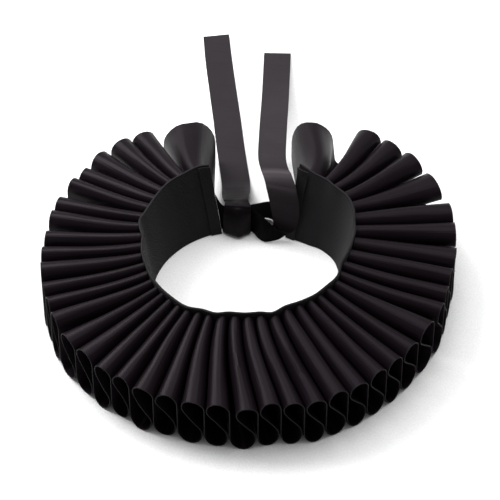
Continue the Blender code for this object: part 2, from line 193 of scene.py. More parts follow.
RibbonStation = namedtuple("RibbonStation", "step low_x low_y low_z high_x high_y high_z mid_y mid_z")
LEFT_RIBBON = [  # its two edges in mm from the ring's centre, and how far its middle stands off their line
    RibbonStation(0, -19.6, 59.4, 2.0, -24.0, 66.3, 31.5, 0, 0),  # its low edge starts below its solid's
    RibbonStation(1, -17.0, 60.8, 3.0, -18.2, 63.6, 22.6, 0, 0),
    RibbonStation(2, -7.5, 61.0, 2.2, -8.0, 62.6, 22.2, 0, 0),
    RibbonStation(3, -1.0, 60.2, 2.0, -1.0, 62.4, 22.0, 0, 0),
    RibbonStation(4, 3.8, 57.0, 1.2, 4.2, 60.2, 21.4, 0, 0),
    RibbonStation(5, 8.2, 51.2, 0.7, 8.8, 56.0, 21.2, -1.0, 0),
    RibbonStation(6, 12.6, 47.9, 0.6, 13.2, 52.8, 19.8, -1.5, 0),
    RibbonStation(7, 18.1, 48.6, 0.6, 18.0, 51.3, 14.8, -1.0, 0),
    RibbonStation(8, 23.3, 49.9, 1.2, 18.9, 51.6, 15.0, -0.5, 0),
    RibbonStation(9, 28.0, 51.2, 4.0, 19.0, 52.0, 16.0, 0, 0),
    RibbonStation(10, 33.4, 49.9, 9.6, 18.8, 52.3, 17.8, 0, 0),
    RibbonStation(11, 37.0, 49.8, 17.0, 18.5, 53.0, 21.8, 0, 0),
    RibbonStation(12, 38.0, 52.0, 24.3, 17.4, 54.6, 27.4, 0, 0),
    RibbonStation(13, 37.7, 54.5, 32.0, 16.0, 56.8, 34.4, 0, 0),
    RibbonStation(14, 36.6, 57.0, 40.1, 14.4, 59.4, 42.0, 0, 0),
    RibbonStation(15, 34.9, 60.0, 48.0, 12.8, 62.6, 48.8, 0, 0.4),
    RibbonStation(16, 32.6, 64.8, 52.6, 11.0, 67.4, 51.6, 0, 0.6),
    RibbonStation(17, 29.9, 73.0, 52.2, 9.2, 75.5, 51.0, 0, 0.6),
    RibbonStation(18, 28.6, 84.0, 49.6, 7.9, 85.5, 49.0, 0, 0.4),
    RibbonStation(19, 28.5, 98.0, 45.8, 7.7, 99.0, 45.4, 0, 0),
    RibbonStation(20, 29.2, 118.0, 40.0, 8.3, 118.0, 40.0, 0, 0),
    RibbonStation(21, 30.1, 142.0, 32.6, 9.1, 142.0, 32.6, 0, 0),
    RibbonStation(22, 31.4, 172.0, 23.2, 10.3, 172.0, 23.2, 0, 0),
    RibbonStation(23, 32.8, 210.0, 11.6, 11.6, 210.0, 11.6, 0, 0),
    RibbonStation(24, 34.4, 255.8, 0.6, 13.0, 256.4, 0.6, 0, 0),
]
RIGHT_RIBBON = [
    RibbonStation(0, 28.0, 54.6, 0.8, 31.4, 61.6, 20.8, 0, 0),
    RibbonStation(1, 24.0, 62.0, 0.8, 26.5, 66.0, 21.8, 0, 0),
    RibbonStation(2, 19.5, 69.5, 0.8, 21.0, 68.5, 22.0, 0, 0),
    RibbonStation(3, 14.0, 72.5, 0.8, 14.3, 68.3, 22.0, 0, 0),
    RibbonStation(4, 8.0, 71.0, 0.8, 8.0, 66.8, 21.8, 0, 0),
    RibbonStation(5, 3.5, 69.2, 0.9, 2.0, 66.0, 21.2, 0, 0),
    RibbonStation(6, 2.2, 68.4, 1.2, -4.5, 66.2, 19.4, 0, 0),
    RibbonStation(7, 1.8, 67.8, 1.4, -11.0, 66.8, 15.6, 0, 0),
    RibbonStation(8, 1.5, 67.0, 1.3, -16.0, 67.0, 10.0, 0, 0),
    RibbonStation(9, 1.4, 66.0, 1.0, -18.5, 66.4, 4.2, 0, 0),
    RibbonStation(10, 1.4, 63.8, 0.7, -19.0, 64.2, 1.0, 0, 0),
    RibbonStation(11, 1.5, 60.5, 0.6, -18.9, 60.9, 0.6, 0, 0),
    RibbonStation(12, 1.9, 57.3, 0.6, -18.4, 57.9, 0.8, -3.0, 0),
    RibbonStation(13, 2.1, 56.0, 3.2, -18.2, 57.0, 3.5, -4.5, 0),
    RibbonStation(14, 2.2, 56.3, 9.0, -18.2, 57.2, 9.0, -4.2, 0),
    RibbonStation(15, 2.3, 57.0, 15.0, -18.2, 57.8, 15.0, -3.2, 0),
    RibbonStation(16, 2.4, 58.4, 20.8, -17.8, 59.2, 21.0, -1.8, 0.3),
    RibbonStation(17, 2.4, 61.2, 24.2, -17.2, 61.8, 24.4, -0.6, 0.8),
    RibbonStation(18, 0.5, 65.6, 25.2, -17.0, 66.5, 23.6, 0, 1.0),
    RibbonStation(19, -0.2, 71.0, 24.0, -18.2, 73.5, 18.8, 0, 0.8),
    RibbonStation(20, 1.5, 79.6, 20.0, -19.2, 82.5, 13.0, 0, 0.5),
    RibbonStation(21, 1.9, 91.0, 12.0, -19.4, 94.0, 7.0, 0, 0),
    RibbonStation(22, 1.8, 103.0, 4.2, -19.6, 104.5, 2.4, 0, 0),
    RibbonStation(23, 1.5, 113.0, 0.8, -20.2, 113.0, 0.7, 0, 0),
    RibbonStation(24, 0.2, 124.0, 0.6, -21.4, 124.0, 0.6, 0, 0),
    RibbonStation(25, -2.2, 145.4, 0.6, -23.8, 146.0, 0.6, 0, 0),
    RibbonStation(26, -5.4, 179.0, 0.6, -27.0, 180.0, 0.6, 0, 0),
    RibbonStation(27, -9.0, 213.0, 0.6, -30.5, 214.0, 0.6, 0, 0),
    RibbonStation(28, -12.6, 248.0, 0.6, -33.9, 248.0, 0.6, 0, 0),
    RibbonStation(29, -15.3, 278.7, 0.6, -35.8, 275.8, 0.6, 0, 0),
]

# Creases: where each lies on its piece, how far it stands proud or sinks in mm, and how wide it is
# A ruff crease starts and ends at a share of the way from neck to rim, and its width is in phase
RuffCrease = namedtuple("RuffCrease", "fold phase start end depth width")
RUFF_CREASES = [  # phase 0-0.4 crosses the arch, 0.4-0.5 the plumb side, 0.5-0.9 the lobe, 0.9-1 the slant
    RuffCrease(1, 0.15, 0.05, 1.10, -1.3, 0.050),
    RuffCrease(1, 0.26, 0.00, 1.10, -1.5, 0.055),
    RuffCrease(2, 0.13, 0.10, 0.90, -0.8, 0.060),
    RuffCrease(3, 0.22, -0.10, 0.70, -0.9, 0.070),
    RuffCrease(5, 0.14, 0.20, 1.10, -0.8, 0.080),
    RuffCrease(7, 0.24, -0.10, 0.85, -0.7, 0.075),
    RuffCrease(8, 0.10, 0.30, 1.10, -0.8, 0.070),
    RuffCrease(10, 0.25, 0.00, 0.80, -0.9, 0.080),
    RuffCrease(11, 0.12, 0.10, 0.90, -0.7, 0.065),
    RuffCrease(13, 0.26, -0.10, 0.60, -0.8, 0.080),
    RuffCrease(14, 0.16, 0.20, 1.10, -0.7, 0.070),
    RuffCrease(16, 0.27, 0.10, 0.90, -0.9, 0.075),
    RuffCrease(17, 0.12, 0.30, 1.10, -0.7, 0.065),
    RuffCrease(18, 0.25, -0.10, 0.80, -1.0, 0.075),
    RuffCrease(19, 0.15, 0.05, 0.70, -0.8, 0.055),
    RuffCrease(20, 0.28, 0.00, 1.00, -1.1, 0.080),
    RuffCrease(21, 0.13, 0.20, 1.10, -0.9, 0.055),
    RuffCrease(22, 0.26, -0.10, 0.75, -1.1, 0.080),
    RuffCrease(23, 0.19, 0.10, 0.95, -0.9, 0.045),
    RuffCrease(24, 0.29, 0.05, 1.10, -1.0, 0.075),
    RuffCrease(25, 0.12, -0.10, 0.65, -0.9, 0.060),
    RuffCrease(26, 0.20, 0.10, 1.10, -1.0, 0.050),
    RuffCrease(27, 0.30, 0.00, 0.80, -1.0, 0.080),
    RuffCrease(28, 0.14, 0.30, 1.10, -0.8, 0.060),
    RuffCrease(29, 0.24, -0.10, 0.70, -0.9, 0.070),
    RuffCrease(31, 0.16, 0.10, 1.00, -0.8, 0.060),
    RuffCrease(32, 0.27, 0.20, 1.10, -0.9, 0.075),
    RuffCrease(34, 0.13, 0.00, 0.75, -0.8, 0.065),
    RuffCrease(35, 0.24, 0.10, 1.10, -0.8, 0.070),
    RuffCrease(37, 0.17, -0.10, 0.80, -0.9, 0.060),
    RuffCrease(38, 0.26, 0.20, 1.10, -1.0, 0.080),
    RuffCrease(39, 0.12, 0.05, 0.90, -0.9, 0.060),
    RuffCrease(40, 0.22, 0.10, 1.10, -1.1, 0.060),
    RuffCrease(41, 0.14, -0.10, 0.85, -0.9, 0.055),
    RuffCrease(42, 0.26, 0.10, 1.00, -1.0, 0.070),
    RuffCrease(43, 0.18, 0.00, 1.10, -1.4, 0.050),
    RuffCrease(43, 0.29, 0.10, 1.10, -1.0, 0.055),
    RuffCrease(4, 0.70, 0.20, 1.10, 0.8, 0.080),
    RuffCrease(9, 0.66, 0.00, 0.90, 0.7, 0.070),
    RuffCrease(15, 0.74, 0.30, 1.10, 0.8, 0.080),
    RuffCrease(21, 0.68, 0.10, 1.00, 0.7, 0.070),
    RuffCrease(30, 0.72, 0.20, 1.10, 0.8, 0.075),
    RuffCrease(36, 0.67, 0.00, 0.80, 0.7, 0.070),
    RuffCrease(41, 0.73, 0.10, 1.00, 0.8, 0.080),
]

RibbonCrease = namedtuple("RibbonCrease", "start_step start_across end_step end_across depth width")
STEP_LENGTH = 10.0  # mm between two stations, near enough to lay out the creases
RIBBON_WIDTH = 21.5  # mm
LEFT_RIBBON_CREASES = [  # across runs from 0 at the low edge to 1 at the high one, depth and width in mm
    RibbonCrease(0.6, 0.10, 1.5, 0.90, 0.5, 3.0),
    RibbonCrease(6.4, 0.15, 7.4, 0.90, -0.6, 3.5),
    RibbonCrease(8.0, 0.95, 9.6, 0.15, 0.8, 3.5),
    RibbonCrease(11.6, 0.00, 12.4, 1.00, -0.6, 4.0),
    RibbonCrease(14.2, 0.00, 14.4, 1.00, 0.8, 4.0),
    RibbonCrease(16.2, 0.00, 16.2, 1.00, 0.5, 3.0),
    RibbonCrease(19.4, 0.00, 19.9, 0.70, 0.3, 6.0),
    RibbonCrease(22.3, 0.30, 22.0, 1.00, -0.3, 7.0),
]
RIGHT_RIBBON_CREASES = [
    RibbonCrease(12.6, 0.42, 16.4, 0.50, 0.9, 4.5),
    RibbonCrease(13.2, 0.80, 16.0, 0.86, -0.5, 3.5),
    RibbonCrease(16.9, 0.00, 17.1, 1.00, 0.4, 3.0),
    RibbonCrease(18.6, 1.00, 17.5, 0.45, -0.9, 3.0),
    RibbonCrease(20.6, 0.00, 20.9, 1.00, 0.4, 6.0),
    RibbonCrease(24.6, 0.00, 24.9, 0.80, 0.3, 7.0),
    RibbonCrease(27.4, 0.25, 27.2, 1.00, -0.3, 8.0),
]


def table_slope(rows, row, column):
    """Slope of a column at a row, between the rows on each side of it."""
    before, after = max(0, row - 1), min(len(rows) - 1, row + 1)
    return (rows[after][column] - rows[before][column]) / (rows[after][0] - rows[before][0])


def smooth_table(rows, at):
    """Values of a table at its first column's value, on a cubic through the rows."""
    spans = range(len(rows) - 1)
    i = next((k for k in spans if rows[k + 1][0] > at), spans[-1])
    width = rows[i + 1][0] - rows[i][0]
    t = (at - rows[i][0]) / width
    values = []
    for column in range(1, len(rows[0])):
        start, end = rows[i][column], rows[i + 1][column]
        leaving = table_slope(rows, i, column) * width
        arriving = table_slope(rows, i + 1, column) * width
        values.append((2 * t ** 3 - 3 * t ** 2 + 1) * start + (t ** 3 - 2 * t ** 2 + t) * leaving
                      + (3 * t ** 2 - 2 * t ** 3) * end + (t ** 3 - t ** 2) * arriving)
    return values


def between(rows, at):
    """Straight-line value between (from, to) pairs, running on past both ends."""
    spans = range(len(rows) - 1)
    i = next((k for k in spans if rows[k + 1][0] > at), spans[-1])
    (x0, y0), (x1, y1) = rows[i], rows[i + 1]
    return y0 + (y1 - y0) * (at - x0) / (x1 - x0)


def polar(radius, azimuth, height):
    return RING_CENTRE + Vector((radius * math.cos(azimuth), radius * math.sin(azimuth), height))


def neckband_radius(azimuth, height):
    """Middle of the neckband's wall, a cone that opens upwards."""
    foot, top = smooth_table(BAND, math.degrees(azimuth))
    return (foot + (top - foot) * height / NECKBAND_HEIGHT) * MM


def leaned(azimuth, height):
    """Azimuth at the neck once the left end of the neckband has leaned a little to the side."""
    near_end = max(0.0, 1 - (math.degrees(azimuth) - LEFT_END) / LEFT_END_REACH)
    return azimuth + math.radians(LEFT_END_SLANT) * (height / NECKBAND_HEIGHT - 0.5) * near_end


@lru_cache(maxsize=None)
def fold_azimuths(share):
    """Azimuth of each fold's middle, this share of the way from neck to rim."""
    eased = share + SIDEWAYS_EASE * (share * share * (3 - 2 * share) - share)
    return [math.radians(f.neck_azimuth + (f.rim_azimuth - f.neck_azimuth) * eased) for f in FOLDS]


def fold_radius(number, share):
    """How far from the ring's centre a fold's arch is, this share of the way from neck to rim."""
    fold = FOLDS[number - 1]
    neck = neckband_radius(math.radians(fold.neck_azimuth), RUFF_NECK_HEIGHT)
    return neck + (fold.rim_radius * MM - neck) * share


def fold_reach(number, share):
    """Half the width of a fold's arch, as an angle. The end folds have widths of their own."""
    radius = fold_radius(number, share)
    own_widths = {1: FIRST_FOLD_WIDTHS, len(FOLDS): FINAL_FOLD_WIDTHS}
    if number in own_widths:
        at_neck, at_rim = own_widths[number]
        return (at_neck + (at_rim - at_neck) * share) / radius / 2
    before, at, after = fold_azimuths(share)[number - 2:number + 1]
    return (min(at - before, after - at) - FOLD_CLEARANCE / radius) / 2


def fold_height(number, share):
    base = RUFF_NECK_HEIGHT + (RUFF_RIM_HEIGHT - RUFF_NECK_HEIGHT) * share
    return base * (1 + HEIGHT_WOBBLE * share * math.sin(WOBBLE_STEP * number))


Bow = namedtuple("Bow", "middle reach centre rise")


def on_bow(bow, angle):
    return bow.middle + bow.reach * math.cos(angle), bow.centre + bow.rise * math.sin(angle)


def slant_angles(lobe, arch):
    """Where the straight side leaves a lobe and meets the next arch, so that it runs smoothly into both."""
    leave, meet = 2 * math.pi, math.pi
    for _ in range(SLANT_ROUNDS):
        (x0, z0), (x1, z1) = on_bow(lobe, leave), on_bow(arch, meet)
        leave = 2 * math.pi + math.atan2((x0 - x1) / lobe.reach, (z1 - z0) / lobe.rise)
        meet = math.pi + math.atan2((x0 - x1) / arch.reach, (z1 - z0) / arch.rise)
    return leave, meet


def round_share(full, share):
    """How much of a fold's height its arch or lobe takes: less near the neck, where it is flattened."""
    return NECK_SHARE + (full - NECK_SHARE) * min(1, share / NECK_REACH)


def fold_bows(number, share):
    """Left and right half of a fold's arch."""
    height, outer = fold_height(number, share), round_share(ARCH_SHARE, share)
    inner = outer + (END_ARCH_SHARE - outer) * share
    shares = {1: (FREE_END_SHARE, inner), len(FOLDS): (inner, FREE_END_SHARE)}.get(number, (outer, outer))
    middle, reach = fold_azimuths(share)[number - 1], fold_reach(number, share)
    return [Bow(middle, reach, height * (1 - part), height * part) for part in shares]


def straight(start, end, steps, number, phases):
    """Points from a start up to, and without, an end, with their fold's number and their phase round it."""
    return [(start[0] + (end[0] - start[0]) * k / steps, start[1] + (end[1] - start[1]) * k / steps,
             number, phases[0] + (phases[1] - phases[0]) * k / steps) for k in range(steps)]


def curved(bow, start, end, steps, number, phases):
    return [(*on_bow(bow, start + (end - start) * k / steps),
             number, phases[0] + (phases[1] - phases[0]) * k / steps) for k in range(steps)]


def fold_line(share):
    """The strip's line at this share of the way from neck to rim: azimuth, height, fold number and phase.

    Each fold is an arch on top, a plumb side down, a lobe below that runs on under the next arch,
    and a slanting side that returns to where that next arch starts.
    """
    left, right = fold_bows(1, share)
    foot = (left.middle - left.reach, FREE_END_FOOT * fold_height(1, share))
    points = straight(foot, on_bow(left, math.pi), SIDE_STEPS, 1, (-0.1, 0))
    meet = math.pi
    for number in range(1, len(FOLDS) + 1):
        points += curved(left, meet, math.pi / 2, ARCH_STEPS, number, (0, 0.2))
        points += curved(right, math.pi / 2, 0, ARCH_STEPS, number, (0.2, 0.4))
        shoulder = on_bow(right, 0)
        if number == len(FOLDS):
            foot = (shoulder[0], FREE_END_FOOT * fold_height(number, share))
            return points + straight(shoulder, foot, SIDE_STEPS, number, (0.4, 0.5)) + [(*foot, number, 0.5)]
        next_left, next_right = fold_bows(number + 1, share)
        under, full = 1, LOBE_SHARE
        if number + 1 == len(FOLDS):
            under, full = 1 - FINAL_LOBE_RECESS * share, ARCH_SHARE
        far = next_left.middle + under * next_left.reach - FOLD_CLEARANCE / fold_radius(number + 1, share)
        rise = round_share(full, share) * fold_height(number, share)
        lobe = Bow((shoulder[0] + far) / 2, (far - shoulder[0]) / 2, rise, rise)
        leave, meet = slant_angles(lobe, next_left)
        points += straight(shoulder, on_bow(lobe, math.pi), SIDE_STEPS, number, (0.4, 0.5))
        points += curved(lobe, math.pi, leave, 2 * ARCH_STEPS, number, (0.5, 0.9))
        points += straight(on_bow(lobe, leave), on_bow(next_left, meet), SIDE_STEPS, number, (0.9, 1))
        left, right = next_left, next_right


def ruff_point(share, azimuth, height):
    """Where a point of the strip lies, this share of the way from the neckband to the rim."""
    numbered = [(a, f.number) for a, f in zip(fold_azimuths(share), FOLDS)]
    fold = between(numbered, azimuth)
    at_neck = between([(f.number, math.radians(f.neck_azimuth)) for f in FOLDS], fold)
    rim = smooth_table([(f.number, f.rim_radius) for f in FOLDS], min(max(fold, 1), len(FOLDS)))[0] * MM
    neck = neckband_radius(at_neck, height + SOLID_WALL) + NECKBAND_WALL / 2 + SEAM_GAP
    lean = (leaned(at_neck, height) - at_neck) * (1 - share)
    return polar(neck + (rim - neck) * share, azimuth + lean, height + SATIN_WALL / 2)


def bump(distance):
    """A soft ridge, 1 in the middle and 0 from a distance of 1 on."""
    return np.where(np.abs(distance) < 1, (1 - np.minimum(np.abs(distance), 1) ** 2) ** 2, 0)


def surface_normals(grid):
    """Unit normals of a grid of points."""
    along, across = np.gradient(grid, axis=1), np.gradient(grid, axis=0)
    normals = np.cross(along, across)
    return normals / np.linalg.norm(normals, axis=2, keepdims=True)


def lengths_along(grid, axis):
    """Running length from the first row or column of a grid to each point, for its cloth coordinates."""
    steps = np.linalg.norm(np.diff(grid, axis=axis), axis=2)
    start = np.zeros_like(np.take(steps, [0], axis=axis))
    return np.concatenate([start, np.cumsum(steps, axis=axis)], axis=axis)


def cloth(name, grid, wall, finish, nodes):
    """A wall round a grid of points, with cloth coordinates in metres, in place of the part's solids."""
    across, along = grid.shape[:2]
    corners = np.arange(across * along).reshape(across, along)
    quads = np.stack([corners[:-1, :-1], corners[:-1, 1:], corners[1:, 1:], corners[1:, :-1]], axis=2)
    mesh = bpy.data.meshes.new(name + "_surface")
    mesh.from_pydata(grid.reshape(-1, 3).tolist(), [], quads.reshape(-1, 4).tolist())
    u = np.median(lengths_along(grid, 1), axis=0)[None, :] + np.zeros((across, along))
    v = np.median(lengths_along(grid, 0), axis=1)[:, None] + np.zeros((across, along))
    places = np.stack([u, v], axis=2).reshape(-1, 2)
    layer = mesh.uv_layers.new(name="cloth")
    layer.data.foreach_set("uv", places[quads.reshape(-1)].reshape(-1))
    shell = bpy.data.objects.new(name + "_shell", mesh)
    bpy.context.scene.collection.objects.link(shell)
    thicken = shell.modifiers.new("wall", "SOLIDIFY")
    thicken.thickness = wall
    thicken.offset = 0
    bpy.context.view_layer.update()
    solid = bpy.data.meshes.new_from_object(shell.evaluated_get(bpy.context.evaluated_depsgraph_get()))
    bpy.data.objects.remove(shell)
    return placed(name, solid, finish, nodes)


def placed(name, mesh, finish, nodes=()):
    """A finished piece of the object, riding on its one body."""
    mesh.name = name
    mesh.materials.clear()
    mesh.materials.append(finish)
    mesh.shade_smooth()
    mesh.set_sharp_from_angle(angle=math.radians(SHARP_ANGLE))
    piece = bpy.data.objects.new(name, mesh)
    bpy.context.scene.collection.objects.link(piece)
    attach(piece, "root")
    if nodes:
        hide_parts(*nodes)
    return piece


def threads(name, lines, radius, finish, sides=2):
    """Round threads or rolled edges along lines of points, with closed ends."""
    curve = bpy.data.curves.new(name, "CURVE")
    curve.dimensions = "3D"
    curve.bevel_depth = radius
    curve.bevel_resolution = sides
    curve.use_fill_caps = True
    for line in lines:
        spline = curve.splines.new("POLY")
        spline.points.add(len(line) - 1)
        spline.points.foreach_set("co", np.c_[np.asarray(line), np.ones(len(line))].reshape(-1))
    holder = bpy.data.objects.new(name + "_curve", curve)
    bpy.context.scene.collection.objects.link(holder)
    bpy.context.view_layer.update()
    mesh = bpy.data.meshes.new_from_object(holder.evaluated_get(bpy.context.evaluated_depsgraph_get()))
    bpy.data.objects.remove(holder)
    return placed(name, mesh, finish)


# Materials
class Shader:
    """A material's node tree, with short calls to add to it."""

    def __init__(self, name):
        self.material = bpy.data.materials.new(name)
        self.material.use_nodes = True
        self.tree = self.material.node_tree
        self.main = self.tree.nodes["Principled BSDF"]

    def add(self, kind, inputs=(), **settings):
        made = self.tree.nodes.new("ShaderNode" + kind)
        for key, value in settings.items():
            setattr(made, key, value)
        for socket, value in dict(inputs).items():
            self.put(made.inputs[socket], value)
        return made

    def put(self, socket, value):
        if isinstance(value, bpy.types.NodeSocket):
            self.tree.links.new(value, socket)
        else:
            socket.default_value = value

    def cloth_place(self, across, along):
        """The cloth coordinates, in threads of this many metres."""
        place = self.add("UVMap", uv_map="cloth")
        scale = (1 / across, 1 / along, 1)
        return self.add("Mapping", {"Vector": place.outputs["UV"], "Scale": scale}).outputs[0]

    def mix(self, share, low, high):
        made = self.add("Mix", data_type="RGBA")
        self.put(made.inputs[0], share)
        for socket, colour in ((made.inputs[6], low), (made.inputs[7], high)):
            self.put(socket, colour if isinstance(colour, bpy.types.NodeSocket) else (*colour, 1))
        return made.outputs[2]

    def spread(self, value, low, high):
        return self.add("MapRange", {"Value": value, "To Min": low, "To Max": high}).outputs[0]

    def noise(self, place, scale, detail=2.0):
        return self.add("TexNoise", {"Vector": place, "Scale": scale, "Detail": detail}).outputs[0]

    def stripes(self, place, direction, distortion=0.0):
        """Stripes one unit of the place apart."""
        return self.add("TexWave", {"Vector": place, "Scale": math.pi / 10, "Distortion": distortion},
                        bands_direction=direction).outputs["Fac"]

    def sum(self, *values):
        total = values[0]
        for value in values[1:]:
            made = self.add("Math", operation="ADD")
            self.put(made.inputs[0], total)
            self.put(made.inputs[1], value)
            total = made.outputs[0]
        return total

    def times(self, value, factor):
        made = self.add("Math", operation="MULTIPLY")
        self.put(made.inputs[0], value)
        self.put(made.inputs[1], factor)
        return made.outputs[0]

    def relief(self, height, depth, strength=1.0):
        made = self.add("Bump", {"Strength": strength, "Distance": depth, "Height": height})
        self.put(self.main.inputs["Normal"], made.outputs[0])


def satin(name, dark, light, rough, specular, anisotropy, thread, painted_shade_and_sheen=()):
    """Satin: long floats across the strip that draw the gloss into streaks, over a fine weave.

    Each painted tone is a place in metres along the strip, and how much the colour is lightened there as
    painted sheen or darkened as painted shade.
    """
    shade = Shader(name)
    floats = shade.noise(shade.cloth_place(thread, thread * 40), 1.0, 3.0)
    clouds = shade.noise(shade.cloth_place(18 * MM, 30 * MM), 1.0, 3.0)
    grain = shade.noise(shade.cloth_place(0.6 * MM, 0.6 * MM), 1.0, 3.0)
    tone = shade.sum(shade.times(floats, 0.45), shade.times(clouds, 0.3), shade.times(grain, 0.25))
    colour = shade.mix(tone, dark, light)
    # Painted shade and painted sheen: the base colour is scaled along the strip to stand in for light and
    # shade
    if painted_shade_and_sheen:
        along = shade.add("SeparateXYZ", {0: shade.cloth_place(1, 1)}).outputs["X"]
        factor = painted_shade_and_sheen[0][1]
        for (start, before), (end, after) in zip(painted_shade_and_sheen, painted_shade_and_sheen[1:]):
            share = shade.add("MapRange", {"Value": along, "From Min": start, "From Max": end})
            factor = shade.sum(factor, shade.times(share.outputs[0], after - before))
        colour = shade.add("VectorMath", {0: colour, "Scale": factor}, operation="SCALE").outputs[0]
    shade.put(shade.main.inputs["Base Color"], colour)
    shade.put(shade.main.inputs["Roughness"], shade.spread(tone, rough - 0.12, rough + 0.12))
    shade.relief(shade.sum(shade.times(floats, 0.7), shade.times(grain, 0.3)), 0.35 * MM, 0.7)
    shade.main.inputs["IOR"].default_value = 1.1
    shade.main.inputs["Specular IOR Level"].default_value = specular
    shade.main.inputs["Specular Tint"].default_value = (1.0, 0.88, 0.98, 1.0)
    shade.main.inputs["Anisotropic"].default_value = anisotropy
    shade.main.inputs["Anisotropic Rotation"].default_value = 0.25
    tangent = shade.add("Tangent", direction_type="UV_MAP", uv_map="cloth")
    shade.put(shade.main.inputs["Tangent"], tangent.outputs[0])
    return shade.material


def twill(name, dark, light, rough, specular):
    """Twill: matt diagonal ribs over a fine weave."""
    shade = Shader(name)
    rib = 1.5 * MM
    place = shade.cloth_place(rib, rib)
    turned = shade.add("Mapping", {"Vector": place, "Rotation": (0, 0, math.radians(40))}).outputs[0]
    ribs = shade.stripes(turned, "X", 0.6)
    grain = shade.noise(shade.cloth_place(0.35 * MM, 0.35 * MM), 1.0, 3.0)
    clouds = shade.noise(shade.cloth_place(16 * MM, 16 * MM), 1.0, 3.0)
    tone = shade.sum(shade.times(ribs, 0.45), shade.times(grain, 0.2), shade.times(clouds, 0.35))
    shade.put(shade.main.inputs["Base Color"], shade.mix(tone, dark, light))
    shade.put(shade.main.inputs["Roughness"], shade.spread(grain, rough - 0.06, rough + 0.06))
    shade.relief(shade.sum(shade.times(ribs, 0.7), shade.times(grain, 0.3)), 0.25 * MM, 0.8)
    shade.main.inputs["Specular IOR Level"].default_value = specular
    shade.main.inputs["Sheen Weight"].default_value = 0.03
    shade.main.inputs["Sheen Roughness"].default_value = 0.5
    return shade.material


def plain(name, colour, rough, specular=0.5):
    """Thread or floor: one tone, with a fine grain."""
    shade = Shader(name)
    grain = shade.noise(shade.add("TexCoord").outputs["Object"], 900.0)
    shade.put(shade.main.inputs["Base Color"],
              shade.mix(grain, [c * 0.85 for c in colour], [min(1, c * 1.15) for c in colour]))
    shade.main.inputs["Roughness"].default_value = rough
    shade.main.inputs["Specular IOR Level"].default_value = specular
    return shade.material


# Pieces
def ruff_grid():
    """The folded strip as a grid of points, from neck to rim, with its creases."""
    shares = [k / RUFF_SPANS for k in range(RUFF_SPANS + 1)]
    lines = [fold_line(share) for share in shares]
    grid = np.array([[ruff_point(share, azimuth, height) for azimuth, height, _, _ in line]
                     for share, line in zip(shares, lines)])
    number = np.array([point[2] for point in lines[0]])
    phase = np.array([point[3] for point in lines[0]])
    raised = np.zeros(grid.shape[:2])
    reach = np.array(shares)[:, None]
    for crease in RUFF_CREASES:
        middle = (crease.start + crease.end) / 2
        fade = bump((reach - middle) / (crease.end - middle)) ** 0.5
        across = np.where(number == crease.fold, bump((phase - crease.phase) / crease.width), 0)
        raised += crease.depth * MM * fade * across
    return grid + surface_normals(grid) * raised[:, :, None]


def band_grid(first, final, steps, inwards, low=0.0, high=NECKBAND_HEIGHT, spans=BAND_SPANS):
    """Points up the neckband between two azimuths in degrees, moved in from the middle of its wall."""
    rows = []
    for k in range(spans + 1):
        height = low + (high - low) * k / spans
        azimuths = [math.radians(first + (final - first) * i / steps) for i in range(steps + 1)]
        radii = [neckband_radius(azimuth, height) - inwards for azimuth in azimuths]
        rows.append([polar(radius, leaned(a, height), height) for radius, a in zip(radii, azimuths)])
    return np.array(rows)


def eared(grid):
    """The right end's hem with its top corner standing open like a small ear."""
    rows, columns = (np.linspace(0, 1, count) for count in grid.shape[:2])
    up, along = np.meshgrid(rows, columns, indexing="ij")
    risen = np.clip((up - EAR_START) / (1 - EAR_START), 0, 1)
    open_by = EAR_DEPTH * risen ** 2 * bump(along - EAR_MIDDLE)
    towards_axis = (np.array(RING_CENTRE) - grid) * (1, 1, 0)
    towards_axis /= np.linalg.norm(towards_axis, axis=2, keepdims=True)
    grid = grid + towards_axis * open_by[:, :, None]
    grid[:, :, 2] += open_by * EAR_LIFT
    return grid


def ribbon_grid(stations, creases):
    """Points of a ribbon, on a cubic through its stations, with its creases."""
    rows = []
    for k in range(RIBBON_SPANS + 1):
        across = k / RIBBON_SPANS
        belly = 4 * across * (1 - across)
        row = []
        for i in range((len(stations) - 1) * RIBBON_STEPS + 1):
            x0, y0, z0, x1, y1, z1, mid_y, mid_z = smooth_table(stations, i / RIBBON_STEPS)
            low, high = Vector((x0, y0, z0)), Vector((x1, y1, z1))
            point = (low + (high - low) * across + Vector((0, mid_y, mid_z)) * belly) * MM
            point.z = max(point.z, RIBBON_WALL / 2)
            row.append(RING_CENTRE + point)
        rows.append(row)
    grid = np.array(rows)
    steps, spans = np.arange(grid.shape[1]) / RIBBON_STEPS, np.arange(grid.shape[0]) / RIBBON_SPANS
    step, across = np.meshgrid(steps, spans)
    place = np.stack([step * STEP_LENGTH, across * RIBBON_WIDTH], axis=2)
    raised = np.zeros(grid.shape[:2])
    for crease in creases:
        start = np.array([crease.start_step * STEP_LENGTH, crease.start_across * RIBBON_WIDTH])
        run = np.array([crease.end_step * STEP_LENGTH, crease.end_across * RIBBON_WIDTH]) - start
        nearest = np.clip((place - start) @ run / (run @ run), 0, 1)[:, :, None]
        away = np.linalg.norm(place - start - nearest * run, axis=2)
        raised += crease.depth * MM * bump(away / crease.width)
    grid += surface_normals(grid) * raised[:, :, None]
    grid[:, :, 2] = np.maximum(grid[:, :, 2], RIBBON_WALL / 2)
    return grid


def stitches(grid, row_share, pitch, length, lift):
    """Short lines along a grid's column at this share of its width, each one stitch."""
    column = grid[:, int(round(row_share * (grid.shape[1] - 1)))]
    normal = surface_normals(grid)[:, int(round(row_share * (grid.shape[1] - 1)))]
    run = np.concatenate([[0], np.cumsum(np.linalg.norm(np.diff(column, axis=0), axis=1))])
    made = []
    at = pitch / 2
    while at + length < run[-1]:
        ends = np.array([at, at + length * 0.5, at + length])
        rise = np.array([0.2, 1.0, 0.2])[:, None] * lift
        line = np.stack([np.interp(ends, run, column[:, k]) for k in range(3)], axis=1)
        facing = np.stack([np.interp(ends, run, normal[:, k]) for k in range(3)], axis=1)
        made.append(line + facing * rise)
        at += pitch
    return made


